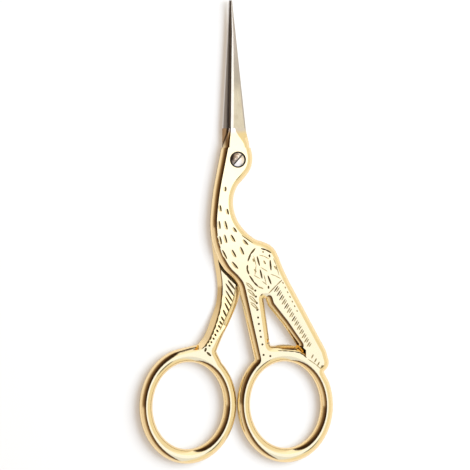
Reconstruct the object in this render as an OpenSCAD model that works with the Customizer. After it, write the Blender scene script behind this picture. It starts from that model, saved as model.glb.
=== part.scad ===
// Stork embroidery scissors: two pivoted halves in the shape of a standing stork.
// Lengths are in millimetres. The pivot axis is Z, +Y points to the blade tips,
// and z = 0 is the surface that the closed scissors lie on.

/* [Length and thickness] */
// Pivot axis to the blade tips
blade_reach = 39.6; // [34:0.1:48]
// Pivot axis to the centre of a finger ring
handle_reach = 61; // [56:0.5:68]
// Thickness of each half where one lies on the other
half_t = 1.8; // [1.6:0.1:2.4]
// Gap between the two halves
shear_gap = 0.05; // [0.02:0.01:0.1]

/* [Finger rings] */
// Width of a finger hole
hole_w = 17.9; // [15:0.1:19.5]
// Length of a finger hole
hole_h = 21.6; // [20:0.1:25]
// Width of the band at the side of a ring
band_side = 3.25; // [2.8:0.05:4]
// Width of the band at the top and bottom of a ring
band_end = 3.6; // [3:0.05:4.5]
// Space between the two closed rings
ring_space = 0.2; // [0.1:0.05:1]
// Lean of each ring towards the other at its top, in degrees
ring_lean = 3.5; // [2:0.5:6]

/* [Edges] */
// Width of the rounded shoulder round a flat face, seen from above
shoulder_w = 1.45; // [1:0.05:1.5]
// Height of the rounded shoulder
shoulder_h = 1.4; // [1.2:0.05:1.5]
// Extra width of the front ring's flat below the tail window
window_sill = 0.6; // [0:0.1:1.2]
// Radius of the fillet where a leg or the tail meets a ring
fillet_r = 1.8; // [1.6:0.1:2.2]

/* [Blades] */
// Distance from the pivot axis to the line where the gold plating ends
plating_y = 7.8; // [6.5:0.1:9]
// Width of a blade at the plating line
blade_w = 4.5; // [3.8:0.1:4.8]
// Width of a blade at its tip
tip_w = 0.5; // [0.3:0.05:0.8]
// Thickness of a blade at its tip
tip_t = 0.8; // [0.5:0.05:1.2]
// Width of the unground flat along a blade's spine
spine_flat = 0.65; // [0.4:0.05:1]
// Width of the rounded corner along a blade's spine
spine_round = 0.45; // [0.2:0.05:0.6]
// Width of the narrow bevel that makes the cutting edge
edge_bevel = 0.4; // [0.2:0.05:0.6]
// Height that the narrow bevel falls
edge_fall = 0.3; // [0.1:0.05:0.4]
// Thickness left at the cutting edge
edge_t = 0.12; // [0.05:0.01:0.25]
// Depth of the hollow in a blade's inner face
hollow = 0.08; // [0:0.01:0.12]
// Distance that each cutting edge passes the other blade's spine
edge_overlap = 1.4; // [0.4:0.1:1.6]

/* [Pivot screw] */
// Diameter of the screw's shank
shank_d = 2.2; // [1.8:0.1:2.6]
// Diameter of the screw's head
head_d = 3.4; // [3:0.1:3.8]
// Height of the screw's head
head_h = 0.9; // [0.7:0.05:1.1]
// Diameter of the seat that the head turns in
seat_d = 4.1; // [4:0.05:4.6]
// Radial gap between the shank and the front half's bore
running_gap = 0.04; // [0.02:0.01:0.08]
// Radial gap between the shank and the back half's bore
seat_gap = 0.02; // [0.01:0.01:0.04]
// Width of the screwdriver slot
slot_w = 0.35; // [0.25:0.05:0.6]
// Depth of the screwdriver slot
slot_depth = 0.4; // [0.2:0.05:0.5]
// Direction of the screwdriver slot, in degrees from +X
slot_angle = 48; // [0:1:90]

/* [Hidden] */

stack_h = 2 * half_t + shear_gap;
// Height of the face that a half turns to the other one, in the half's own frame
inner_z = half_t + shear_gap;

ring_x = hole_w / 2 + band_side + ring_space / 2;
ring_centre = [ring_x, -handle_reach];

// The bird's curves are drawn for a reach of 61 and stretched to the real one
stretch = handle_reach / 61;
function bird(points) = [for (p = points) [p.x, p.y * stretch]];
function turned(points) = [for (p = points) [-p.x, p.y]];
function reversed(points) = [for (i = [len(points) - 1:-1:0]) points[i]];

// Height above the pivot at which the rounded head runs into the root of the blade,
// and the head's two sides there
head_y = 3;
head_front = -3.55;
head_crown = 3.2;

// Spine of a blade at the plating line, on the front half and, turned over, on the back
front_spine = -2.2;
back_spine = edge_overlap - blade_w - front_spine;
// Middle of the tip, on the front half and, turned over, on the back half
front_tip = -1.4;
back_tip = 1.7;

// Edges of the flat faces. The rounded shoulder lies outside them.
// Front of head, neck and breast, shared by both halves, from the beak down
breast = [
    [-2.0, 4.8], [-2.5, 2.4], [-3.5, -2.6], [-4.45, -7.6], [-5.05, -12.5], [-5.25, -16.2]
];
// Crown and nape, shared by both halves, from the beak down
nape = [
    [1.5, 4.6], [2.1, 2.6], [2.5, 0.4], [2.1, -1.7], [0.75, -3.6], [-0.95, -5.55],
    [-2.05, -8], [-2.4, -10.7], [-2.0, -13.5]
];
// Belly of the front half, from the neck to the thigh
belly = [[-4.85, -20], [-3.6, -23.7], [-2, -26.5], [0, -28.5], [1.4, -30.4], [2.1, -32.6]];
// Back of the front half, from the nape to the root of the tail
back = [
    [-0.9, -16.2], [1.3, -19], [4, -21.05], [6.3, -21.8], [8.2, -22.9], [9.3, -24.9],
    [10.2, -27.2], [11.7, -30.4]
];
// Front and rear edges of the back half's body and leg, from the neck to the ring
rear_leg_front = [
    [-4.95, -20], [-4.35, -24.9], [-3.55, -29.9], [-3.5, -33.6], [-4.1, -37.3],
    [-5.9, -42.3], [-7.1, -44.8]
];
rear_leg_back = [
    [-0.9, -18], [-0.1, -23], [0, -28.5], [-0.5, -33.6], [-1.9, -37.3], [-4.5, -42.3],
    [-5.6, -44.8]
];
// Inner edge of the tail, from the rump down
tail_inside = [[9.2, -35.6], [12.8, -40.1]];

// Corners of the outlines: a point, and the radius that rounds it. An inner corner is
// rounded a little more than the shoulder is wide, so that the shoulder never folds.
crotch_r = 1.07 * shoulder_w;
thigh = [5.05, -33.1, crotch_r];
rump = [8.35, -33.1, crotch_r];
// The same, measured from the middle of the top of a ring's flat face
tail_tip = [9.8, -2.8, 0.9];
tail_end = [9, 0];
tail_foot = [5.9, 0.1, crotch_r];
leg_foot = [-5.1, 0.3, fillet_r];
rear_knee = [-5.5, 0.4, fillet_r];
rear_ankle = [-3.4, 0.9, 1.5 * fillet_r];

// Where the two halves start to rise or fall, and where they have the rings' full height
ramp_start = -33.6 * stretch;
ramp_end = -46 * stretch;

// Fineness of the curves: chords for each stretch, and degrees for each side of an arc
chords = 3;
ring_step = 6;
corner_step = 15;
shoulder_steps = 5;
edge_power = 4 / 3;
blade_steps = 8;
root_steps = 6;
ramp_steps = 8;
round_sides = 48;

function mix(a, b, t) = a + (b - a) * t;
// A share of 0 to 1 that starts and ends gently
function eased(t) = t * t * (3 - 2 * t);

// Smooth curve through all the points
function bend(a, b, c, d, t) =
    0.5 * (2 * b + (c - a) * t + (2 * a - 5 * b + 4 * c - d) * t * t
        + (3 * b - a - 3 * c + d) * t * t * t);
function curve(p) = [
    for (i = [0:len(p) - 2], k = [0:chords - 1])
        bend(p[max(i - 1, 0)], p[i], p[i + 1], p[min(i + 2, len(p) - 1)], k / chords),
    p[len(p) - 1]
];

function unit(v) = v / norm(v);
function flat(p) = [p.x, p.y];
function by_ring(p) = [ring_centre.x + p.x, ring_centre.y + ring_edge.y + p.y, p[2]];

// Point of a leaning ring at an angle, on the ellipse with these two half axes
function ring_point(a, half_axes) = ring_centre + [
    half_axes.x * cos(a) * cos(ring_lean) - half_axes.y * sin(a) * sin(ring_lean),
    half_axes.x * cos(a) * sin(ring_lean) + half_axes.y * sin(a) * cos(ring_lean)
];
function ring_arc(from, to, half_axes) =
    let (n = round(abs(to - from) / ring_step))
    [for (i = [0:n]) ring_point(from + (to - from) * i / n, half_axes)];

// Arc of radius r that rounds the corner b between a and c
function corner_arc(a, b, c, r) = let (
    u = unit(a - b),
    v = unit(c - b),
    half = acos(u * v) / 2,
    centre = b + unit(u + v) * r / sin(half),
    start = b + u * r / tan(half) - centre,
    from = atan2(start.y, start.x),
    turn = sign(cross(u, v)) * (half * 2 - 180),
    n = ceil(abs(turn) / corner_step)
) [for (i = [0:n]) centre + r * [cos(from + turn * i / n), sin(from + turn * i / n)]];

// Closed outline from points, some of which have a radius as their third number
function rounded(points) = let (n = len(points)) [
    for (i = [0:n - 1]) let (p = points[i])
        each (is_undef(p[2]) ? [flat(p)]
            : corner_arc(flat(points[(i + n - 1) % n]), flat(p), flat(points[(i + 1) % n]), p[2]))
];

hole_edge = [hole_w / 2 + shoulder_w, hole_h / 2 + shoulder_w];
ring_edge = [hole_w / 2 + band_side - shoulder_w, hole_h / 2 + band_end - shoulder_w];
// Half axes of the window's floor, where the ring's band is wider
floor_edge = ring_edge + [0, window_sill];

// Outlines of the flat faces. They run with the metal on their left.
front_outline = rounded(concat(
    curve(bird(concat(breast, belly))),
    [[each ring_point(121, ring_edge), fillet_r]],
    ring_arc(130, 380, ring_edge),
    [[each ring_point(38, ring_edge), fillet_r], by_ring(tail_tip), by_ring(tail_end)],
    reversed(curve(bird(concat(nape, back))))
));
tail_window = rounded(concat(
    [[each bird([rump])[0], rump[2]]],
    bird(tail_inside),
    [by_ring(tail_foot)],
    ring_arc(75, 99, floor_edge),
    [by_ring(leg_foot)],
    [[each bird([thigh])[0], thigh[2]]]
));
finger_hole = ring_arc(360, ring_step, hole_edge);
// The back half is drawn turned over, as it is seen from behind
back_outline = rounded(concat(
    curve(turned(bird(concat(nape, rear_leg_back)))),
    [by_ring(rear_knee)],
    ring_arc(128, 434, ring_edge),
    [by_ring(rear_ankle)],
    reversed(curve(turned(bird(concat(breast, rear_leg_front)))))
));

// Profile of the shoulder from a flat face down to the upright land: how far it stands
// out from the face's outline, and how far it lies below the face. A power of 1 gives
// a quarter of an ellipse, and a higher one a tighter edge and a straighter flank.
shoulder = [
    for (i = [0:shoulder_steps]) let (a = 90 * i / shoulder_steps)
        [shoulder_w * pow(sin(a), edge_power), shoulder_h * (1 - pow(cos(a), edge_power))]
];
// The whole edge of a plate, from the lower face round to the upper one, with heights
plate_edge = concat(shoulder, [for (s = reversed(shoulder)) [s.x, stack_h - s.y]]);

// Direction in which the edge stands out at point i of an outline
function outward(outline, i) = let (
    n = len(outline),
    u = unit(outline[i] - outline[(i + n - 1) % n]),
    v = unit(outline[(i + 1) % n] - outline[i]),
    w = unit(u + v)
) [w.y, -w.x] / (w * v);

// Rounded edge round one outline, closed by a wall that stands on the outline
module edge_band(outline) {
    n = len(outline);
    m = len(plate_edge);
    polyhedron(
        points = [for (i = [0:n - 1]) let (out = outward(outline, i)) for (s = plate_edge)
            [outline[i].x + out.x * s.x, outline[i].y + out.y * s.x, s.y]],
        faces = [for (i = [0:n - 1], j = [0:m - 1]) let (
            a = i * m + j,
            b = i * m + (j + 1) % m,
            c = (i + 1) % n * m + (j + 1) % m,
            d = (i + 1) % n * m + j
        ) each [[a, b, c], [a, c, d]]]
    );
}

// Plate of the full height with rounded edges, round an outline and its openings
module plate(outline, openings) {
    loops = concat([outline], openings);
    firsts = [0, len(outline), len(outline) + len(openings[0])];
    linear_extrude(stack_h) polygon(
        points = [for (l = loops) each l],
        paths = [for (k = [0:len(loops) - 1]) [for (i = [0:len(loops[k]) - 1]) firsts[k] + i]]
    );
    edge_band(outline);
    for (o = openings) edge_band(o);
}

// Space of the other half: below the inner face, and down a soft ramp to the rings.
// Above the head it takes the whole height, where the blade's root stands instead.
module other_half() rotate([90, 0, 90]) linear_extrude(100, center = true) polygon(concat(
    [[ramp_end, -1]],
    [for (i = [0:ramp_steps]) let (t = i / ramp_steps)
        [mix(ramp_end, ramp_start, t), inner_z * eased(t)]],
    [[head_y, inner_z], [head_y, stack_h + 1], [head_y + 20, stack_h + 1], [head_y + 20, -1]]
));

// Section of a blade or its root at a height y, with the spine at the left. Each side
// is a profile of steps out and down from the edge of the flat on the spine.
function section(y, left, left_side, right, right_side, top, dip) = concat(
    [[(left + right) / 2, y, inner_z + dip], [left, y, inner_z]],
    [for (p = reversed(left_side))
        [left + left_side[len(left_side) - 1].x - p.x, y, inner_z + top - p.y]],
    [for (p = right_side)
        [right - right_side[len(right_side) - 1].x + p.x, y, inner_z + top - p.y]],
    [[right, y, inner_z]]
);

// The shoulder's profile at another width and height
function fitted(w, h) = [for (p = shoulder) [p.x * w / shoulder_w, p.y * h / shoulder_h]];

// Profile of the ground side with as many points as the shoulder's: one long slope
// from the spine to the narrow bevel, and the narrow bevel itself
function ground(w, h) = [
    for (i = [0:shoulder_steps]) [w - edge_bevel, h - edge_fall] * i / shoulder_steps,
    [w, h]
];

// Solid through a row of sections that all have the same number of points
module loft(sections) {
    n = len(sections[0]);
    last = len(sections) - 1;
    polyhedron(
        points = [for (s = sections) for (p = s) p],
        faces = concat(
            [[for (i = [0:n - 1]) i]],
            [[for (i = [0:n - 1]) last * n + (n - i) % n]],
            [for (j = [0:last - 1], i = [0:n - 1])
                [j * n + i, (j + 1) * n + i, (j + 1) * n + (i + 1) % n]],
            [for (j = [0:last - 1], i = [0:n - 1])
                [j * n + i, (j + 1) * n + (i + 1) % n, j * n + (i + 1) % n]]
        )
    );
}

// Edges of a blade at a share s of the way from the plating line to its tip
function blade_section(s, spine, tip) = let (
    top = mix(half_t, tip_t, s),
    left = mix(spine, tip - tip_w / 2, s),
    wide = mix(blade_w, tip_w, s),
    corner = min(spine_round, wide * 0.3),
    ridge = min(spine_flat, wide * 0.2),
    slope_w = wide - corner - ridge,
    shrink = min(1, slope_w / (2 * edge_bevel))
) section(
    mix(plating_y, blade_reach, s), left, fitted(corner, min(spine_round, top / 2)), left + wide,
    [for (p = ground(slope_w / shrink, (top - edge_t) / shrink)) p * shrink], top,
    hollow * wide / blade_w
);

// Root of the blade: from the rounded head at t = 0 to the plating line at t = 1
function root_section(t, spine, left, right) = let (ease = eased(t)) section(
    mix(head_y, plating_y, t),
    mix(left, spine, ease),
    fitted(mix(shoulder_w, spine_round, ease), mix(shoulder_h, spine_round, ease)),
    mix(right, spine + blade_w, ease),
    mix(shoulder, ground(blade_w - spine_round - spine_flat, half_t - edge_t), ease),
    half_t, hollow * t
);

module blade(spine, tip)
    loft([for (i = [0:blade_steps]) blade_section(i / blade_steps, spine, tip)]);
module root(spine, left, right)
    loft([for (i = [0:root_steps]) root_section(i / root_steps, spine, left, right)]);

// Turns a half over, so that its inner face points up
module turned_over() translate([0, 0, stack_h]) rotate([0, 180, 0]) children();

module front_blade() color([0.78, 0.79, 0.8]) blade(front_spine, front_tip);

module front_handle() color([0.93, 0.76, 0.42]) difference() {
    union() {
        difference() {
            plate(front_outline, [tail_window, finger_hole]);
            other_half();
        }
        root(front_spine, head_front, head_crown);
    }
    cylinder(d = shank_d + 2 * running_gap, h = stack_h + 1, $fn = round_sides);
    translate([0, 0, stack_h - head_h - running_gap])
        cylinder(d = seat_d, h = head_h + 1, $fn = round_sides);
}

module back_blade() color([0.72, 0.73, 0.75]) turned_over() blade(back_spine, back_tip);

module back_handle() color([0.86, 0.68, 0.34]) difference() {
    turned_over() union() {
        difference() {
            plate(back_outline, [finger_hole]);
            other_half();
        }
        root(back_spine, -head_crown, -head_front);
    }
    translate([0, 0, -1]) cylinder(d = shank_d + 2 * seat_gap, h = stack_h + 2, $fn = round_sides);
}

// Slotted screw: its shank is fixed in the back half, and the front half turns on it
module pivot_screw() color([0.8, 0.78, 0.72]) difference() {
    union() {
        cylinder(d = shank_d, h = stack_h, $fn = round_sides);
        translate([0, 0, stack_h - head_h]) cylinder(d = head_d, h = head_h, $fn = round_sides);
    }
    rotate(slot_angle) translate([0, 0, stack_h]) cube([head_d + 1, slot_w, 2 * slot_depth], center = true);
}

front_blade();
front_handle();
back_blade();
back_handle();
pivot_screw();
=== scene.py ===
# %% [markdown]
# Stork embroidery scissors, dressed for a studio photograph. The solids give every
# size and place. This lesson adds what solids leave out: the engraving on the bird,
# the gold plating with its wear, the ground steel of the blades and the screw's face.

# %% The solids
import math

import bpy
from mathutils import Matrix, Vector


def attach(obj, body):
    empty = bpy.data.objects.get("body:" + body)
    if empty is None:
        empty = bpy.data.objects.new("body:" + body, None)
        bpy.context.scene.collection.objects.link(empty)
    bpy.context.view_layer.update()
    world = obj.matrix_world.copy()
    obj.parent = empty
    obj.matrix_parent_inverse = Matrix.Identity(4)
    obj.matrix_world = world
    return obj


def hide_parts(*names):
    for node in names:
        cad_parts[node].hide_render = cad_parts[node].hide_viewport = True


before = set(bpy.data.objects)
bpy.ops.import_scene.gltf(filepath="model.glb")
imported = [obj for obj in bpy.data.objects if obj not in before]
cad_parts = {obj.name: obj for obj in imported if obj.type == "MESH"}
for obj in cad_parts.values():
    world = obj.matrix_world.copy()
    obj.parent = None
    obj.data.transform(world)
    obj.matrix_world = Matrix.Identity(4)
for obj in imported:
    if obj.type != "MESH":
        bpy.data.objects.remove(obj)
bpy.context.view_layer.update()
MM = 0.001
TOP = 3.65  # mm from the table to the front half's upper face
SEAM = 1.8  # mm to the faces where the two halves meet
print("solids:", sorted(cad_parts))

# %% [markdown]
# The photograph looks almost straight down on the scissors, with the lens a little to
# their left. The frame is square and 116.6 mm wide where the upper faces are. A camera
# without perspective would come close. A long lens keeps the little that a real one
# has, and the two rings still come out the same size.

# %% Camera
LENS_LEAN = math.radians(11)
LENS_DISTANCE = 0.81
FRAME_WIDTH = 116.6 * MM
aim = Vector((-0.74 * MM, -18.7 * MM, TOP * MM))
towards_lens = Vector((-math.sin(LENS_LEAN), 0, math.cos(LENS_LEAN)))

lens = bpy.data.cameras.new("lens")
lens.sensor_width = 36
lens.lens = lens.sensor_width * LENS_DISTANCE / FRAME_WIDTH
camera = bpy.data.objects.new("camera", lens)
bpy.context.scene.collection.objects.link(camera)
camera.location = aim + LENS_DISTANCE * towards_lens
camera.rotation_euler = (0, -LENS_LEAN, 0)
bpy.context.scene.camera = camera
print("lens", round(lens.lens), "mm at", LENS_DISTANCE, "m")

# %% [markdown]
# Every finish here is a pattern that the renderer works out, node by node. Nodes can be
# made and linked one at a time, but sums read best as plain arithmetic. A Wire holds
# one output of a node. Adding or multiplying wires lays the Math nodes, and Wire.node
# makes every other node.

# %% Shader arithmetic
class Wire:
    """One output socket in a material's or a world's tree."""

    def __init__(self, tree, socket=None):
        self.tree = tree
        self.socket = socket

    def node(self, kind, settings=None, sockets=None, out=0):
        made = self.tree.nodes.new(kind)
        for name, value in (settings or {}).items():
            if name == "stops":
                ramp = made.color_ramp
                for place, colour in value[2:]:
                    ramp.elements.new(place)
                for stop, (place, colour) in zip(ramp.elements, value):
                    stop.position = place
                    stop.color = (*colour, 1)
            else:
                setattr(made, name, value)
        for key, value in (sockets or {}).items():
            if isinstance(value, Wire):
                self.tree.links.new(value.socket, made.inputs[key])
            else:
                made.inputs[key].default_value = value
        return Wire(self.tree, made.outputs[out]) if made.outputs else None

    def maths(self, operation, *values):
        return self.node("ShaderNodeMath", {"operation": operation}, dict(enumerate(values)))

    def __add__(self, other): return self.maths("ADD", self, other)
    def __radd__(self, other): return self.maths("ADD", other, self)
    def __sub__(self, other): return self.maths("SUBTRACT", self, other)
    def __rsub__(self, other): return self.maths("SUBTRACT", other, self)
    def __mul__(self, other): return self.maths("MULTIPLY", self, other)
    def __rmul__(self, other): return self.maths("MULTIPLY", other, self)

    def output(self, key):
        """Another output of the node that this one comes from."""
        return Wire(self.tree, self.socket.node.outputs[key])

    def parts(self):
        """The X, Y and Z of a place or a direction."""
        x = self.node("ShaderNodeSeparateXYZ", {}, {0: self})
        return x, x.output(1), x.output(2)

    def between(self, low, high):
        """0 below low, 1 above high and a smooth rise between them."""
        return self.node("ShaderNodeMapRange", {"interpolation_type": "SMOOTHSTEP"},
                         {0: self, 1: low, 2: high})

    def blend(self, first, second):
        """The first colour where this is 0 and the second where it is 1."""
        return self.node("ShaderNodeMix", {"data_type": "RGBA"},
                         {0: self, 6: first, 7: second}, 2)

    def noise(self, scale, detail=2, squeeze=(1, 1, 1)):
        """Noise in 0..1 on a wire of places, with this many lumps to a millimetre."""
        pressed = self.node("ShaderNodeVectorMath", {"operation": "MULTIPLY"},
                            {0: self, 1: Vector(squeeze) * scale / MM})
        return self.node("ShaderNodeTexNoise", {},
                         {"Vector": pressed, "Scale": 1, "Detail": detail})


def rgb(r, g, b):
    return (r, g, b, 1)


print("shader sums are ready")

# %% [markdown]
# A polished metal shows its surroundings, so the studio matters as much as the metal.
# It could be built from cards and boxes of light. Here it is painted on the sky, which
# is quick to render and leaves no grain in the gold. A place in the sky is given by
# side, front and height, and by lean, its angle from overhead towards the right.

# %% Directions in the sky
world = bpy.data.worlds.new("studio")
bpy.context.scene.world = world
world.use_nodes = True
world.node_tree.nodes.clear()
sky = Wire(world.node_tree)
side, front, height = sky.node("ShaderNodeTexCoord").parts()
lean = sky.maths("ARCTAN2", side, height) * (180 / math.pi)
print("sky:", world.name)

# %% [markdown]
# A large soft panel hangs overhead. One band of it is brighter, and the flats show that
# band as a white gleam. A round dark card and a dark strip hang at the right, and the
# rounded edges reflect them as short brown marks. All of it is masks from 0 to 1,
# because a mask's soft rim is easy to move and to widen.

# %% Overhead panel
PANEL = 1.14
GLEAM = 0.42
CARD_SIDE, CARD_FRONT, CARD_REACH = 0.55, -0.46, 0.16
away = sky.maths("SQRT", sky.maths("POWER", side - CARD_SIDE, 2.0)
                 + sky.maths("POWER", front - CARD_FRONT, 2.0))
card = (1 - away.between(CARD_REACH * 0.7, CARD_REACH)) * height.between(0.2, 0.3)
strip = front.between(0.2, 0.24) * (1 - front.between(0.34, 0.42))
strip = strip * side.between(0.24, 0.32) * (1 - side.between(0.45, 0.6))
dark = sky.maths("MAXIMUM", card, strip)
gleam_start = front.between(-0.006, 0.022)
gleam_end = front.between(0.028, 0.05)
panel = PANEL + gleam_start * GLEAM * (1 - gleam_end * 0.85)
panel = panel * (1 - dark * 0.9)
panel = panel - (0 - front).between(0.25, 0.8) * 0.25
print("panel overhead:", PANEL, "with a band of", PANEL + GLEAM)

# %% [markdown]
# The photograph's flats turn from a cool white near the rings to a warm one near the
# blades. A tint in the plating would stay when the scissors turn, so the tint is in the
# panel. Past the panel, the right side of the room is a pale warm wall.

# %% Colour of the panel
WALL_START, WALL_FULL = 16, 50  # degrees of lean
cool = 1 - front.between(0.0, 0.03)
warm = front.between(0.028, 0.045)
ceiling = sky.node("ShaderNodeCombineColor", {}, {
    0: panel * (1 - cool * 0.03),
    1: panel * (1 + cool * 0.06 - warm * 0.03),
    2: panel * (1.03 + cool * 0.24 - warm * 0.12)})
open_side = lean.between(WALL_START, WALL_FULL).blend(ceiling, rgb(0.94, 0.87, 0.68))
open_side = (dark * 0.85).blend(open_side, rgb(0.03, 0.02, 0.01))
print("warm wall from", WALL_START, "to", WALL_FULL, "degrees of lean")

# %% [markdown]
# At the left the room is dark. It draws the thin dark lines along every edge that leans
# that way, and turns paler towards the horizon. The photograph's rings have thinner
# lines than the bird, so lower in the picture the dark starts further out and turns
# pale sooner. The lens and clear things see plain white in place of the room.

# %% Dark room at the left
DARK_START, DARK_FULL, HORIZON = 4, 11, 90  # degrees to the left of overhead
THINNER, PALER = 11, 20  # degrees by which the dark starts later and pales sooner
narrow = (0 - front).between(0.038, 0.048)
left_wall = (0 - lean - narrow * THINNER).between(DARK_START, DARK_FULL)
room = sky.node("ShaderNodeValToRGB", {"stops": [
    (0.30, (0.035, 0.016, 0.007)), (0.44, (0.05, 0.025, 0.012)),
    (0.66, (0.17, 0.095, 0.045)), (0.82, (0.40, 0.28, 0.17)),
    (0.94, (0.80, 0.68, 0.54)), (1.0, (0.88, 0.78, 0.66))]},
    {0: (narrow * PALER - lean) * (1 / HORIZON)})
light = left_wall.blend(open_side, room)
seen = sky.node("ShaderNodeLightPath")
backdrop = sky.maths("MAXIMUM", seen, seen.output("Is Transmission Ray"))
shine = sky.node("ShaderNodeBackground", {}, {
    "Color": backdrop.blend(light, rgb(1, 1, 1)), "Strength": 1.0})
sky.node("ShaderNodeOutputWorld", {}, {"Surface": shine})
print("studio surroundings laid")

# %% [markdown]
# The metal shows the sky, and the lamps light the paper and throw the shadow. A small
# lamp would give the shadow a hard edge, so the main one is a wide disc. It is kept
# out of reflections, where its round rim would show in the gold. A weak lamp overhead
# softens the shadow close to the metal.

# %% Lamps
def soft_light(name, place, size, watts):
    lamp = bpy.data.lights.new(name, "AREA")
    lamp.shape = "DISK"
    lamp.size = size
    lamp.energy = watts
    holder = bpy.data.objects.new(name, lamp)
    bpy.context.scene.collection.objects.link(holder)
    holder.location = place
    holder.rotation_mode = "QUATERNION"
    holder.rotation_quaternion = (aim - Vector(place)).to_track_quat("-Z", "Y")
    return holder


key = soft_light("key_light", (0.26, 0.06, 0.42), 0.46, 5.0)
key.visible_glossy = False
overhead = soft_light("overhead_light", (0.085, 0.075, 0.42), 0.20, 0.034)
print("lamps:", key.name, overhead.name)

# %% [markdown]
# The scissors lie on white paper. Lamps strong enough to turn it pure white would wash
# out the metal, so the paper also glows a little, for the lens and in reflections only.
# The paper's own colour and the glow's are set against each other: open paper comes out
# just white, and the shadow keeps its tint.

# %% Floor
PAPER, PAPER_IN_METAL = rgb(0.30, 0.345, 0.39), rgb(0.37, 0.335, 0.305)
GLOW, GLOW_IN_METAL = rgb(0.46, 0.375, 0.29), rgb(0.30, 0.28, 0.255)
bpy.ops.object.select_all(action="DESELECT")
bpy.ops.mesh.primitive_plane_add(size=4, location=(0, -0.02, -0.02 * MM))
floor = bpy.context.object
floor.name = "floor"
paper = bpy.data.materials.new("white_paper")
paper.use_nodes = True
paper.node_tree.nodes.clear()
sheet = Wire(paper.node_tree)
path = sheet.node("ShaderNodeLightPath")
glossy = path.output("Is Glossy Ray")
clear = path.output("Is Transmission Ray")
watched = sheet.maths("MAXIMUM", sheet.maths("MAXIMUM", path, glossy), clear)
matt = sheet.node("ShaderNodeBsdfDiffuse", {}, {"Color": glossy.blend(PAPER, PAPER_IN_METAL)})
lift = sheet.node("ShaderNodeEmission", {}, {
    "Color": glossy.blend(GLOW, GLOW_IN_METAL), "Strength": watched})
both = sheet.node("ShaderNodeAddShader", {}, {0: matt, 1: lift})
sheet.node("ShaderNodeOutputMaterial", {}, {"Surface": both})
floor.data.materials.append(paper)
print("floor:", paper.name)

# %% [markdown]
# A finish is a material whose patterns follow Object coordinates, the places on the
# piece itself, so they turn with the piece. Three small helpers do what every finish
# repeats: one starts it, one adds relief, and one ends it in a Principled shader.

# %% Helpers for the finishes
def new_finish(name):
    """A bare material, and the wire of places on the piece that wears it."""
    material = bpy.data.materials.new(name)
    material.use_nodes = True
    material.node_tree.nodes.clear()
    return material, Wire(material.node_tree).node("ShaderNodeTexCoord", out="Object")


def bump(height, strength, depth, under=None):
    """Shades a pattern of heights, this many mm deep, over another bump if one is given."""
    sockets = {"Strength": strength, "Distance": depth * MM, "Height": height}
    if under:
        sockets["Normal"] = under
    return height.node("ShaderNodeBump", {}, sockets)


def close(place, sockets):
    shader = place.node("ShaderNodeBsdfPrincipled", {}, sockets)
    place.node("ShaderNodeOutputMaterial", {}, {"Surface": shader})


print("helpers:", new_finish.__name__, bump.__name__, close.__name__)

# %% [markdown]
# The handles are forged steel, polished and then plated with a thin pale gold. One flat
# colour would look like paint. So the colour, the polish and the marks come from noise
# at the sizes of real wear: slow drifts of tone, shallow waves from the polishing wheel
# and hair-fine scratches. Masks then take the gold off at the root of the blades, and
# lay painted shade where the halves meet and on the head's left flank.

# %% Gold plating
PLATING_LINE = 7.8 * MM

gold, place = new_finish("gold_plating")
across, along, level = place.parts()
tone = place.noise(0.12).blend(rgb(0.94, 0.80, 0.52), rgb(0.94, 0.77, 0.46))
rub = place.noise(0.5, 4)
# The gold fades to steel at the root of the blades, along an uneven line
uneven = along + (rub - 0.5) * (1.2 * MM)
bare = uneven.between(PLATING_LINE - 1.5 * MM, PLATING_LINE - 0.1 * MM)
tone = bare.blend(tone, rgb(0.77, 0.72, 0.72))
# Painted shade darkens the faces where the two halves meet
seam_shade = place.maths("COMPARE", level, 1.79 * MM, 0.085 * MM)
seam_shade = seam_shade * along.between(-20 * MM, -18 * MM)
tone = seam_shade.blend(tone, rgb(0.20, 0.14, 0.09))
# Painted shade makes the head's left flank brown next to the blade
flank_shade = along.between(2 * MM, 5 * MM) * level.between(1.7 * MM, 1.78 * MM)
flank_shade = flank_shade * (1 - level.between(3.2 * MM, 3.45 * MM)) * (0 - across).between(1.0 * MM, 1.6 * MM)
tone = flank_shade.blend(tone, rgb(0.20, 0.12, 0.06))
waves = place.noise(0.45, 2)
hairs = place.noise(6, 2, (1, 0.12, 1))
relief = bump(hairs, 0.08, 0.004, bump(waves, 0.25, 0.03))
close(place, {"Base Color": tone, "Metallic": 1.0, "Roughness": 0.07 + rub * 0.09,
              "Normal": relief})
print("finish:", gold.name)

# %% [markdown]
# The engraver's cuts read as near-black lines. Dirt and lacquer collect in them, and
# painted shade darkens them further. A dark gold would still mirror the bright panel, so
# this dark finish is no metal at all. Shallow cuts get a dull gold, darkened less, as
# lighter painted shade. The seat under the screw's head and the screw's slot get a
# near-black painted shade.

# %% Dirt and painted shade in the cuts, the seat and the slot
dirt_and_shade, place = new_finish("dirt_and_painted_shade_in_cuts")
stain = place.noise(2, 3)
# Near-black for the dirt in the cuts, and painted shade that darkens them further
tone = stain.between(0.35, 0.7).blend(rgb(0.035, 0.021, 0.006), rgb(0.075, 0.052, 0.016))
close(place, {"Base Color": tone, "Metallic": 0.0, "Specular IOR Level": 0.15,
              "Roughness": 0.5 + stain * 0.2})

dull_shaded_gold, place = new_finish("dull_gold_with_painted_shade")
stain = place.noise(2, 3)
# Dull gold darkened as lighter painted shade in the shallow cuts
tone = stain.between(0.35, 0.7).blend(rgb(0.44, 0.34, 0.15), rgb(0.62, 0.50, 0.26))
close(place, {"Base Color": tone, "Metallic": 1.0, "Roughness": 0.2 + stain * 0.2})

seat_and_slot_shade, place = new_finish("painted_shade_in_seat_and_slot")
mottle = place.noise(3, 2)
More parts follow.
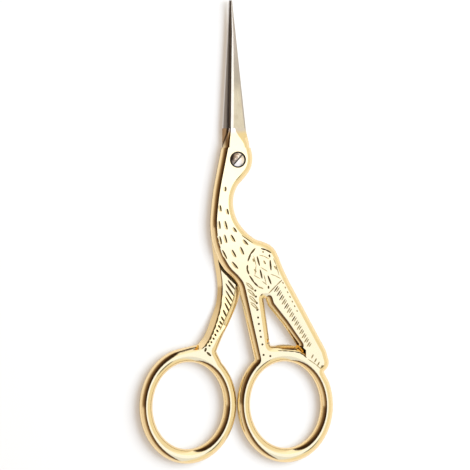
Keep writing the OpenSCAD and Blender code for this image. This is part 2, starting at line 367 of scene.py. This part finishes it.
# Near-black painted shade for the step under the screw's head and the screw's slot
tone = mottle.blend(rgb(0.02, 0.018, 0.014), rgb(0.07, 0.06, 0.045))
close(place, {"Base Color": tone, "Metallic": 0.0, "Roughness": 0.3 + mottle * 0.3})
print("finishes:", dirt_and_shade.name, dull_shaded_gold.name, seat_and_slot_shade.name)

# %% [markdown]
# The blades are ground along their length, then lightly polished. Grinding leaves fine
# parallel lines. There are far too many to cut one by one, so the noise is stretched
# along Y until its lumps become scratches.

# %% Ground steel
steel, place = new_finish("ground_steel")
lines = place.noise(7, 3, (1, 0.03, 1))
cloud = place.noise(0.35, 3)
tone = lines.between(0.3, 0.75).blend(rgb(0.76, 0.72, 0.67), rgb(0.84, 0.80, 0.74))
tone = cloud.between(0.45, 0.8).blend(tone, rgb(0.72, 0.66, 0.60))
close(place, {"Base Color": tone, "Metallic": 1.0, "Roughness": 0.17 + lines * 0.14,
              "Normal": bump(lines, 0.35, 0.006)})
print("finish:", steel.name)

# %% [markdown]
# The inner face is darkened with painted shade, apart from a painted highlight beside
# the cutting edge. That edge slants across the blade, so the line is found by its
# distance from a slanting line and needs no mesh of its own. The spine is darkened with
# painted shade, and the honed bevel is greyer than the rest.

# %% Inner face, spine and honed edge
EDGE_OUT = 3.6 * MM
EDGE_SLANT = 1.65 / 31.8

inner, place = new_finish("hollow_ground_face")
across, along, level = place.parts()
edge_line = (along - PLATING_LINE) * EDGE_SLANT - EDGE_OUT
streaks = place.noise(5, 3, (1, 0.05, 1))
# Painted shade away from the cutting edge, and a painted highlight along it
shade_away_from_edge = (across - edge_line).between(0.12 * MM, 0.3 * MM)
tone = streaks.blend(rgb(0.17, 0.13, 0.10), rgb(0.30, 0.25, 0.20))
tone = shade_away_from_edge.blend(rgb(0.62, 0.56, 0.50), tone)
close(place, {"Base Color": tone, "Metallic": 1.0, "Roughness": 0.25 + streaks * 0.2})

# Painted shade: the spine, which looks to the left, is near-black steel
shaded_spine, place = new_finish("spine_painted_shade")
close(place, {"Base Color": rgb(0.10, 0.075, 0.055), "Metallic": 1.0, "Roughness": 0.3})

honed, place = new_finish("honed_edge")
grit = place.noise(9, 2, (1, 0.2, 1))
close(place, {"Base Color": grit.blend(rgb(0.46, 0.43, 0.41), rgb(0.60, 0.57, 0.55)),
              "Metallic": 1.0, "Roughness": 0.35})
print("finishes:", inner.name, shaded_spine.name, honed.name)

# %% [markdown]
# The screw's face was turned on a lathe, which leaves rings, and its colour darkens
# towards its upper left side. A wave texture laid in rings gives the tool's marks without
# any mesh.

# %% Turned steel
turned, place = new_finish("turned_steel")
across, up, level = place.parts()
grooves = place.node("ShaderNodeTexWave", {"wave_type": "RINGS", "rings_direction": "Z"},
                     {"Vector": place, "Scale": 1600, "Distortion": 0.6, "Detail": 1})
smear = place.noise(1.6, 3)
darker_upper_left = (up * 0.55 - across) * (1 / MM) + (smear - 0.5) * 3
tone = darker_upper_left.between(0.1, 0.9).blend(rgb(0.90, 0.80, 0.68), rgb(0.34, 0.25, 0.18))
close(place, {"Base Color": tone, "Metallic": 1.0, "Roughness": 0.14 + smear * 0.15,
              "Normal": bump(grooves * 0.4 + smear, 0.5, 0.01)})
print("finish:", turned.name)

# %% [markdown]
# Each handle is a flat forging with rounded shoulders. It could be drawn again from the
# photograph, but its solid already has the right outline. So each starts as a copy of
# its solid, whose loose triangles are merged before anything is cut into them.

# %% Working copies
def only(*objects):
    bpy.ops.object.select_all(action="DESELECT")
    for chosen in objects:
        chosen.select_set(True)
    bpy.context.view_layer.objects.active = objects[0]


def working_copy(node, name, finish):
    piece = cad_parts[node].copy()
    piece.data = piece.data.copy()
    piece.parent = None
    piece.name = piece.data.name = name
    for tag in [t for t in piece.keys() if t.startswith("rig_")]:
        del piece[tag]
    bpy.context.scene.collection.objects.link(piece)
    piece.data.materials.clear()
    piece.data.materials.append(finish)
    only(piece)
    bpy.ops.object.mode_set(mode="EDIT")
    bpy.ops.mesh.select_all(action="SELECT")
    bpy.ops.mesh.customdata_custom_splitnormals_clear()
    bpy.ops.mesh.remove_doubles(threshold=0.002 * MM)
    bpy.ops.object.mode_set(mode="OBJECT")
    print(name, len(piece.data.polygons), "faces")
    return piece


front_bird = working_copy("front_handle", "front_bird_handle", gold)
back_bird = working_copy("back_handle", "back_bird_handle", gold)

# %% [markdown]
# The bird's plumage is struck into the metal: lens-shaped cuts for feathers, dots down
# the legs and short ribs on the tail. A bump in the finish would be lost in the mesh
# and from the side, so every mark is a real cut. One cutter, a slim spindle, is
# modelled once, and its copies are laid where the cuts are.

# %% The cutter
bpy.ops.object.select_all(action="DESELECT")
bpy.ops.mesh.primitive_uv_sphere_add(segments=16, ring_count=10, radius=0.5)
master = bpy.context.object
bpy.ops.object.mode_set(mode="EDIT")
bpy.ops.mesh.select_all(action="SELECT")
bpy.ops.transform.rotate(value=math.pi / 2, orient_axis="Y", center_override=(0, 0, 0))
bpy.ops.object.mode_set(mode="OBJECT")
master.name = "spindle"
master.data.materials.append(dirt_and_shade)
print("cutter:", master.name, len(master.data.polygons), "faces")

# %% [markdown]
# A graver goes in at a slope, runs at one depth and comes out at a slope, and so does a
# spindle that is sunk into the face. It could be placed by hand, but here its two ends
# come from the photograph, and turning, stretching and sinking follow from them. It is
# 5 times as tall as the cut is deep. Lifted by 1.5 depths, it goes in by exactly one,
# and it has 0.8 of its full width where it meets the surface.

# %% Laying the cuts
TALL, LIFTED, AT_SURFACE = 5, 1.5, 0.8


def cut_at(cutters, start, end, width, depth, low=TOP, high=TOP, finish=dirt_and_shade):
    """A cut with sloping sides, from start at the height low to end at high, in mm."""
    a = Vector((start[0], start[1], low))
    b = Vector((end[0], end[1], high))
    run = b - a
    x = run.normalized()
    y = Vector((-x.y, x.x, 0)).normalized()
    z = x.cross(y)
    turn = Matrix((x, y, z)).transposed().to_4x4()
    stretch = Matrix.Diagonal((run.length / AT_SURFACE, width / AT_SURFACE, TALL * depth, 1))
    shift = Matrix.Translation((a + b) / 2 + LIFTED * depth * z)
    tool = master.copy()
    tool.data = master.data.copy()
    tool.data.transform(Matrix.Scale(MM, 4) @ shift @ turn @ stretch)
    tool.data.materials[0] = finish
    bpy.context.scene.collection.objects.link(tool)
    cutters.append(tool)


def notch(cutters, middle, length, angle, width=0.66, depth=0.12, finish=dirt_and_shade):
    """A cut of this length around its middle, at an angle in degrees."""
    half = Vector((math.cos(math.radians(angle)), math.sin(math.radians(angle)))) * length / 2
    cut_at(cutters, Vector(middle) - half, Vector(middle) + half, width, depth, finish=finish)


def stroke(cutters, points, width=0.42, depth=0.11, finish=dirt_and_shade, overlap=0.22, level=TOP):
    """Cuts along a line of points, each cut running a little into the next."""
    for a, b in zip(points, points[1:]):
        a, b = Vector(a), Vector(b)
        run = (b - a).normalized() * overlap
        cut_at(cutters, a - run, b + run, width, depth, level, level, finish)


def from_to(first, last, share):
    return Vector(first) * (1 - share) + Vector(last) * share


print("helpers:", notch.__name__, stroke.__name__)

# %% [markdown]
# Metal is taken away by a boolean, which cuts one mesh with another and gives the new
# faces the cutter's finish. The exact method is slower than the fast one, and it copes
# with the hundreds of small cuts that touch each other. A sloping side, as a file would
# leave it, is cut by a solid block that rests on a grid bent to that slope.

# %% Taking metal away
BLOCK = 4  # mm, the planing block's height
RUN_OUT = 0.35  # mm, the rise of each of the block's last two rows


def take_away(piece, tool, overlapping=False):
    cut = piece.modifiers.new("cut", "BOOLEAN")
    cut.operation = "DIFFERENCE"
    cut.solver = "EXACT"
    cut.use_self = overlapping
    cut.material_mode = "TRANSFER"
    cut.object = tool
    only(piece)
    bpy.ops.object.modifier_apply(modifier=cut.name)
    bpy.data.objects.remove(tool)
    print(piece.name, len(piece.data.polygons), "faces after the cut")


def engrave(piece, cutters):
    """Joins the laid spindles and takes them all away in one go."""
    only(*cutters)
    bpy.ops.object.join()
    take_away(piece, cutters[0], overlapping=True)


def plane_off(piece, edge, slope, height, way=(-1, 0)):
    """Takes away what lies above a sloping side, which starts at the face's edge. Each
    step of slope is a distance out, along way, and a distance down. Where way is along
    X, the block rises over its last two rows, so that the slope runs out."""
    columns, rows = len(slope), len(edge)
    bpy.ops.object.select_all(action="DESELECT")
    bpy.ops.mesh.primitive_grid_add(x_subdivisions=columns - 1, y_subdivisions=rows - 1, size=1)
    tool = bpy.context.object
    for vertex in tool.data.vertices:
        column = round((vertex.co.x + 0.5) * (columns - 1))
        row = round((0.5 - vertex.co.y) * (rows - 1))
        (x, y), (out, down) = edge[row], slope[column]
        lift = max(0, row - rows + 3) * RUN_OUT if way[0] else 0
        vertex.co = Vector((x + out * way[0], y + out * way[1], height(y) - down + lift)) * MM
    bpy.ops.object.mode_set(mode="EDIT")
    bpy.ops.mesh.select_all(action="SELECT")
    bpy.ops.mesh.extrude_region_move(TRANSFORM_OT_translate={"value": (0, 0, BLOCK * MM)})
    bpy.ops.mesh.select_all(action="SELECT")
    bpy.ops.mesh.normals_make_consistent(inside=False)
    bpy.ops.object.mode_set(mode="OBJECT")
    tool.data.materials.append(gold)
    take_away(piece, tool)


print("planing block:", BLOCK, "mm high")

# %% [markdown]
# The breast carries 14 feathers, struck one by one at their own places and angles.
# Scattering them by a rule would look too even, so they are listed. Each is a shallow
# clean cut with a deeper dark one at its right, which leaves a bright lip at the left.
# The dark one holds dirt and painted shade.

# %% Feathers on the front half
LIP = Vector((0.1, 0))  # mm that the clean cut is moved to the left
CORE = Vector((0.08, 0))  # mm that the dirty one is moved to the right

front_cuts = []
for middle, length, angle in [
    ((-3.2, -7.3), 1.3, 90), ((-4.45, -12.1), 1.75, 99), ((-2.65, -12.9), 1.6, 104),
    ((-4.7, -16.2), 2.2, 97), ((-3.05, -16.25), 2.4, 105), ((-0.8, -17.4), 1.6, 125),
    ((-4.45, -20.0), 2.2, 103), ((-3.15, -19.65), 2.3, 106), ((-1.3, -19.5), 2.2, 121),
    ((1.9, -20.5), 2.0, 132), ((-3.45, -23.5), 2.7, 118), ((-1.05, -23.3), 2.3, 119),
    ((1.0, -22.6), 2.3, 115), ((-0.8, -26.2), 2.5, 131),
]:
    notch(front_cuts, Vector(middle) - LIP, length, angle, 0.75, 0.08, gold)
    notch(front_cuts, Vector(middle) + CORE, length, angle, 0.55, 0.15)
print("feathers:", len(front_cuts), "cuts")

# %% [markdown]
# The folded wing is outlined by heavy strokes, and a line runs down to it from the
# neck. Inside it, six deep bars stand over a faint lattice, and small leaves lead from
# it down the leg. Deep cuts get the dirt with dark painted shade, and shallow ones the
# dull gold with lighter painted shade, because that is how the photograph's dark and pale
# lines differ.

# %% Wing on the front half
cut_at(front_cuts, (0.9, -18.75), (4.7, -21.2), 0.36, 0.1)
stroke(front_cuts, [(4.3, -22.1), (3.2, -23.4), (2.55, -25.1)], 0.5)
stroke(front_cuts, [(2.4, -26.3), (2.35, -27.3), (2.75, -28.3)], 0.5)
stroke(front_cuts, [(3.0, -28.9), (4.0, -30.4), (5.0, -31.4)], 0.48)
stroke(front_cuts, [(5.2, -31.55), (6.3, -32.0)], 0.4, 0.07, dull_shaded_gold)
stroke(front_cuts, [(6.0, -22.1), (7.1, -22.4), (8.4, -23.1)])
bars = [((7.9, -23.5), (8.1, -24.3)), ((8.13, -24.8), (8.4, -27.6)),
        ((4.8, -23.9), (5.5, -26.4)), ((5.6, -27.2), (6.15, -29.6)),
        ((7.55, -28.7), (8.45, -31.0)), ((7.7, -31.3), (7.8, -32.1))]
for a, b in bars:
    cut_at(front_cuts, a, b, 0.5, 0.13)
nicks = [((3.75, -24.5), (4.1, -25.4)), ((4.1, -27.1), (4.65, -28.0)),
         ((6.5, -25.0), (7.0, -26.0)), ((9.1, -26.3), (9.95, -27.4)),
         ((6.2, -22.7), (6.5, -23.1))]
for a, b in nicks:
    cut_at(front_cuts, a, b, 0.45, 0.08, finish=dull_shaded_gold)
lattice = [[(5.5, -23.7), (6.7, -24.0), (7.8, -24.6)], [(5.9, -26.8), (7.4, -27.7)],
           [(4.2, -28.8), (5.5, -29.5)], [(8.5, -28.5), (9.6, -28.9), (10.7, -29.5)],
           [(6.6, -28.7), (7.1, -30.6)], [(4.0, -24.0), (4.6, -26.2), (4.3, -28.6)],
           [(9.0, -24.6), (9.6, -26.0), (10.4, -28.6)], [(6.3, -30.3), (7.2, -31.0)]]
for line in lattice:
    stroke(front_cuts, line, 0.24, 0.03, dull_shaded_gold)
LEAF_STEP = Vector((0.38, -1.62))
leaf = [[(2.15, -30.6), (2.95, -30.95), (3.9, -32.1)],
        [(2.25, -31.0), (3.1, -31.8), (4.05, -32.4)]]
for i in range(4):
    for line in leaf:
        stroke(front_cuts, [Vector(p) + LEAF_STEP * i for p in line], 0.3, 0.05, dull_shaded_gold)
print("wing: cuts are now", len(front_cuts))

# %% [markdown]
# The tail is ribbed right across, with a row of small marks along its back and four
# notches at its end. The ribs shrink evenly towards that end, so a loop lays them. Each
# rib is a pair of cuts, and only a few are deep enough to hold dirt and dark painted shade.

# %% Ribs on the tail
RIBS = 14
RIB_ANGLE = 57
DARK_RIBS = (0, 1, 2, 4, 7)
MARKS = 7

stroke(front_cuts, [(11.1, -29.95), (9.85, -31.1), (7.8, -33.2)], 0.3, 0.07, dull_shaded_gold)
for i in range(RIBS):
    share = i / (RIBS - 1)
    middle = from_to((9.7, -32.1), (17.9, -45.9), share)
    shrink = 0.3 * share
    in_rib = dirt_and_shade if i in DARK_RIBS else dull_shaded_gold
    notch(front_cuts, middle, 1.85 - shrink, RIB_ANGLE, 0.34, 0.08, in_rib)
    notch(front_cuts, middle + Vector((0.42, -0.2)), 1.5 - shrink, RIB_ANGLE, 0.3, 0.05, dull_shaded_gold)
for i in range(MARKS):
    middle = from_to((11.4, -30.6), (15.0, -37.6), i / (MARKS - 1))
    notch(front_cuts, middle, 0.55, 115, 0.36, 0.07, dull_shaded_gold)
for middle in [(18.9, -48.95), (19.7, -49.95), (20.45, -50.8), (21.2, -51.6)]:
    notch(front_cuts, middle, 1.2, 62, 0.36, 0.09, dull_shaded_gold)
stroke(front_cuts, [(17.9, -49.7), (19.8, -51.0), (21.3, -52.3)], 0.24, 0.04, dull_shaded_gold)
print("tail: cuts are now", len(front_cuts))

# %% [markdown]
# The window between leg and tail ends in a sill above the ring, filed to a slope and
# outlined by the engraver. Its line is needed twice, for the slope and for the stroke,
# so it is written once. The stroke lies on the flat, close beside the slope's edge.

# %% Sill of the window
SILL_SLOPE = [(-0.03, -0.3), (0.0, 0.0), (0.15, 0.12), (0.55, 0.6), (1.0, 1.2), (1.6, 2.1)]
sill = [(7.4, -46.05), (8.5, -46.6), (9.7, -47.2), (11.2, -47.3), (12.8, -47.4),
        (14.4, -47.55), (15.8, -47.9), (16.7, -48.45), (17.3, -49.0)]
plane_off(front_bird, sill, SILL_SLOPE, lambda y: TOP, (0, 1))
stroke(front_cuts, [(x, y - 0.17) for x, y in sill], 0.3, 0.09)

# %% [markdown]
# A row of punched dots runs down the front leg. A punch has a round tip of its own, but
# a notch as wide as it is long makes the same dot, so the spindle serves here too. The
# dots are the last marks on this half, and all its cutters are now taken away.

# %% Dots down the front leg
DOT, DOT_DEPTH = 0.56, 0.13

leg_dots = [(4.4, -32.5), (4.55, -34.0), (4.8, -35.6), (4.9, -37.3), (5.1, -39.2), (5.3, -40.8),
            (5.6, -42.5), (5.8, -44.0), (6.2, -45.9), (6.5, -48.5), (8.2, -48.8)]
for middle in leg_dots:
    notch(front_cuts, middle, DOT, 0, DOT, DOT_DEPTH)
engrave(front_bird, front_cuts)

# %% [markdown]
# The rear leg starts on the thin back half and rises to the ring's full thickness. Its
# marks have to follow that ramp, so one function gives the ramp's height, and another
# moves a place that was measured as if it were at the top.

# %% Ramp of the rear leg
RAMP_START, RAMP_LENGTH, RAMP_RISE = -33.6, 12.4, 1.85
SHIFT = 0.2  # mm sideways that the leaning lens adds for each mm of depth


def rear_height(y):
    """Height of the back half's upper face: a soft ramp rises to the full height."""
    share = min(max((RAMP_START - y) / RAMP_LENGTH, 0), 1)
    return SEAM + RAMP_RISE * share * share * (3 - 2 * share)


def rear_place(x, y):
    """A place measured on the upper face's level, moved for the depth of the ramp."""
    z = rear_height(y)
    return (x + (TOP - z) * SHIFT, y), z


print("ramp:", rear_height(0), "to", rear_height(RAMP_START - RAMP_LENGTH), "mm")

# %% [markdown]
# Both sides of the rear leg are filed to a slope, steep at the outside and gentle
# towards the front leg. Each edge is listed from the top down, and the slope is the
# same all along it.

# %% Sides of the rear leg
OUTER_SLOPE = [(-0.03, -0.3), (0.0, 0.0), (0.14, 0.03), (0.3, 0.13), (0.46, 0.28),
               (1.5, 1.32), (2.0, 1.8)]
outer_edge = [(-5.0, -20.0), (-4.72, -22.5), (-4.35, -24.9), (-3.9, -27.4), (-3.55, -29.9),
              (-3.45, -31.7), (-3.5, -33.6), (-3.7, -35.4), (-4.1, -37.3), (-4.65, -39.0),
              (-5.3, -40.8), (-5.9, -42.3), (-6.5, -43.6), (-7.1, -44.8), (-7.7, -45.6),
              (-8.3, -46.37), (-8.8, -46.9), (-9.4, -47.2)]
plane_off(back_bird, outer_edge, OUTER_SLOPE, rear_height)

INNER_SLOPE = [(0.03, -0.3), (0.0, 0.0), (-0.15, 0.03), (-0.5, 0.15), (-0.9, 0.33),
               (-1.5, 0.8), (-2.0, 1.8)]
inner_edge = [(0.0, -25.5), (0.0, -28.5), (-0.12, -31.0), (-0.5, -33.6), (-1.1, -35.5),
              (-1.9, -37.3), (-3.2, -39.8), (-4.0, -41.3), (-4.5, -42.3)]
plane_off(back_bird, inner_edge, INNER_SLOPE, rear_height)

# %% [markdown]
# Slanting strokes run down the leg between its edges, shorter and shorter, and two bold
# ones end it on the ring. A thin dull line marks the inner edge, and a dark one that
# widens marks the outer. Along the joint under the bird's belly, a wide dark cut is painted
# shade for the crevice there. Its cuts overlap more, so that its rim comes out smooth.

# %% Strokes on the rear leg
EDGE_DEPTH = 0.02  # mm that an edge's line starts below the ramp

back_cuts = []
leg_strokes = [((-2.6, -29.9), (-0.75, -32.3)), ((-3.15, -30.7), (-0.85, -34.1)),
               ((-3.15, -32.4), (-1.15, -35.6)), ((-3.2, -34.0), (-1.5, -36.8)),
               ((-3.35, -35.5), (-2.1, -37.9)), ((-3.75, -37.2), (-2.85, -39.1)),
               ((-4.25, -38.9), (-3.5, -40.1)), ((-4.65, -40.0), (-4.0, -40.95)),
               ((-5.0, -41.0), (-4.45, -41.75)), ((-5.45, -42.1), (-4.9, -42.85)),
               ((-5.9, -43.1), (-5.45, -43.8)), ((-6.4, -44.1), (-5.9, -44.65)),
               ((-6.9, -45.0), (-6.5, -45.5)), ((-7.4, -45.9), (-6.95, -46.3))]
for a, b in leg_strokes:
    (start, low), (end, high) = rear_place(*a), rear_place(*b)
    cut_at(back_cuts, start, end, 0.55, 0.14, low, high)
for a, b in [((-8.0, -46.6), (-8.35, -47.65)), ((-7.9, -47.7), (-6.75, -48.7))]:
    cut_at(back_cuts, a, b, 0.6, 0.14)
for a, b in zip(inner_edge[1:], inner_edge[2:]):
    low, high = rear_height(a[1]) - EDGE_DEPTH, rear_height(b[1]) - EDGE_DEPTH
    cut_at(back_cuts, a, b, 0.3, 0.05, low, high, dull_shaded_gold)
for i, (a, b) in enumerate(zip(outer_edge[7:], outer_edge[8:16])):
    low, high = rear_height(a[1]) - EDGE_DEPTH, rear_height(b[1]) - EDGE_DEPTH
    start, end = (a[0] - 0.12, a[1]), (b[0] - 0.12, b[1])
    cut_at(back_cuts, start, end, 0.36 + 0.04 * i, 0.14, low, high)
joint = [(-4.95, -24.3), (-4.6, -25.4), (-3.75, -27.1), (-2.2, -28.7), (-1.05, -29.9),
         (0.0, -30.8), (0.6, -31.9), (0.8, -33.2)]
# Painted shade: the joint's wide dark cut stands for the shade in the crevice
stroke(back_cuts, joint, 0.8, 0.16, overlap=0.8, level=SEAM)
engrave(back_bird, back_cuts)
bpy.data.objects.remove(master)

# %% [markdown]
# Smooth shading rounds the shoulders, but it must not tilt the flats. Faces are
# smoothed up to 35 degrees, and every level face stays flat right up to its edge. The
# rim of a cut is marked sharp, or else its shading would smear over the gold.

# %% Shading
LEVEL = 0.99995  # how nearly a level face looks straight up or down
SEAT_REACH, SEAT_TOP = 2.12 * MM, 3.64 * MM


def smooth(piece, angle=35):
    only(piece)
    bpy.ops.object.shade_smooth_by_angle(angle=math.radians(angle))
    around = {}
    for face in piece.data.polygons:
        if abs(face.normal.z) > LEVEL:
            face.use_smooth = False
        for rim in face.edge_keys:
            around.setdefault(rim, set()).add(face.material_index)
    for edge in piece.data.edges:
        if len(around[edge.key]) > 1:
            edge.use_edge_sharp = True
    weigh = piece.modifiers.new("weigh", "WEIGHTED_NORMAL")
    weigh.keep_sharp = True
    weigh.weight = 100
    bpy.ops.object.modifier_apply(modifier=weigh.name)
    print(piece.name, "smoothed up to", angle, "degrees")


def shade_seat(piece):
    """Paints shade on the step under the screw's head."""
    piece.data.materials.append(seat_and_slot_shade)
    last = len(piece.data.materials) - 1
    for face in piece.data.polygons:
        away = max(math.hypot(*piece.data.vertices[v].co.xy) for v in face.vertices)
        if away < SEAT_REACH and face.center.z < SEAT_TOP:
            face.material_index = last


shade_seat(front_bird)
for piece in (front_bird, back_bird):
    smooth(piece)

# %% [markdown]
# The blades' solids already have the ground slopes, the bevel and the hollow, so the
# copies only need their finishes. Which finish a face wears follows from the way that
# it looks: left for the spine, steeply right for the honed bevel, up for the inner
# face. The ground slopes are kept flat, because a grinding wheel leaves them so.

# %% Blades
GROUND, SPINE, BEVEL, INNER = 0.05, -0.3, 0.52, 0.9  # how far a face looks that way

front_edge = working_copy("front_blade", "front_blade_ground", steel)
back_edge = working_copy("back_blade", "back_blade_ground", steel)
for piece, ground in ((front_edge, 1), (back_edge, -1)):
    smooth(piece, 40)
    for face in piece.data.polygons:
        if face.normal.x * ground > GROUND:
            face.use_smooth = False
for finish in (shaded_spine, honed):
    front_edge.data.materials.append(finish)
for face in front_edge.data.polygons:
    if face.normal.x < SPINE:
        face.material_index = 1
    elif face.normal.x > BEVEL:
        face.material_index = 2
back_edge.data.materials.append(inner)
for face in back_edge.data.polygons:
    if face.normal.z > INNER:
        face.material_index = 1

# %% [markdown]
# The screw's head is turned to a low dome and slotted, and the slot's edges carry the
# marks of the driver. A sphere cut flat would make the dome too, but its rings would be
# in the wrong places. So the screw is drawn as one profile: a disc is extruded up the
# shank, widened to the head, extruded again and stepped inward over the dome.

# %% Screw
SHANK, HEAD = 1.1, 1.7  # mm, the radii
HEAD_LOW, HEAD_RISE, DOME, CHAMFER = 2.75, 0.9, 0.24, 0.05  # mm
STEPS = 9
ROUNDNESS = 2.4


def push_up(rise, across):
    """Extrudes the chosen cap upward and then widens or narrows it."""
    bpy.ops.mesh.extrude_region_move(TRANSFORM_OT_translate={"value": (0, 0, rise * MM)})
    bpy.ops.transform.resize(value=(across, across, 1), center_override=(0, 0, 0))


bpy.ops.object.select_all(action="DESELECT")
bpy.ops.mesh.primitive_circle_add(vertices=64, radius=SHANK * MM, fill_type="NGON")
screw = bpy.context.object
screw.name = "slotted_pivot_screw"
bpy.ops.object.mode_set(mode="EDIT")
bpy.ops.mesh.select_all(action="SELECT")
push_up(HEAD_LOW, 1)
push_up(0, HEAD / SHANK)
push_up(HEAD_RISE - DOME - CHAMFER, 1)
reach = 1
for i in range(1, STEPS):
    r = 1 - (i / STEPS) ** 1.5 * 0.97
    step = DOME * (reach ** ROUNDNESS - r ** ROUNDNESS)
    push_up(step + (CHAMFER if i == 1 else 0), r / reach)
    reach = r
bpy.ops.mesh.select_all(action="SELECT")
bpy.ops.mesh.normals_make_consistent(inside=False)
bpy.ops.object.mode_set(mode="OBJECT")
screw.data.materials.append(turned)
print("screw top at", round(max(v.co.z for v in screw.data.vertices) / MM, 3), "mm")

# %% [markdown]
# The slot is milled straight across. A flat block is taken away from the head, and a
# narrow bevel then breaks every sharp edge, as handling and the driver do.

# %% Slot of the screw
SLOT_TURN = math.radians(48)
SLOT_BLOCK = (5 * MM, 0.36 * MM, 0.9 * MM, 1)

bpy.ops.object.select_all(action="DESELECT")
bpy.ops.mesh.primitive_cube_add(size=1)
driver = bpy.context.object
driver.data.transform(Matrix.Rotation(SLOT_TURN, 4, "Z")
                      @ Matrix.Translation((0, 0, TOP * MM))
                      @ Matrix.Diagonal(SLOT_BLOCK))
# The slot's faces get the near-black painted shade
driver.data.materials.append(seat_and_slot_shade)
take_away(screw, driver)
bevel = screw.modifiers.new("broken_edges", "BEVEL")
bevel.width = 0.035 * MM
bevel.segments = 2
bevel.limit_method = "ANGLE"
bevel.angle_limit = math.radians(40)
bpy.ops.object.modifier_apply(modifier=bevel.name)
smooth(screw, 30)

# %% [markdown]
# The two halves turn on the screw, and the screw stays with the back half. Each piece
# is tied to its half, so that it moves as the real one does, and takes the place of
# its plain solid.

# %% Bodies
for piece, node, body, finish in [
    (front_bird, "front_handle", "front_half", "gold_plate"),
    (back_bird, "back_handle", "back_half", "gold_plate"),
    (front_edge, "front_blade", "front_half", "blade_steel"),
    (back_edge, "back_blade", "back_half", "blade_steel"),
    (screw, "pivot_screw", "back_half", "screw_steel"),
]:
    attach(piece, body)
    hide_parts(node)
    print(piece.name, "rides on", body)

# %% [markdown]
# The engraving and the finishes must not change the size of the scissors. Last, the
# view transform is set to Standard, so that colours come out as they are written.

# %% Colour view
bpy.context.scene.view_settings.view_transform = "Standard"
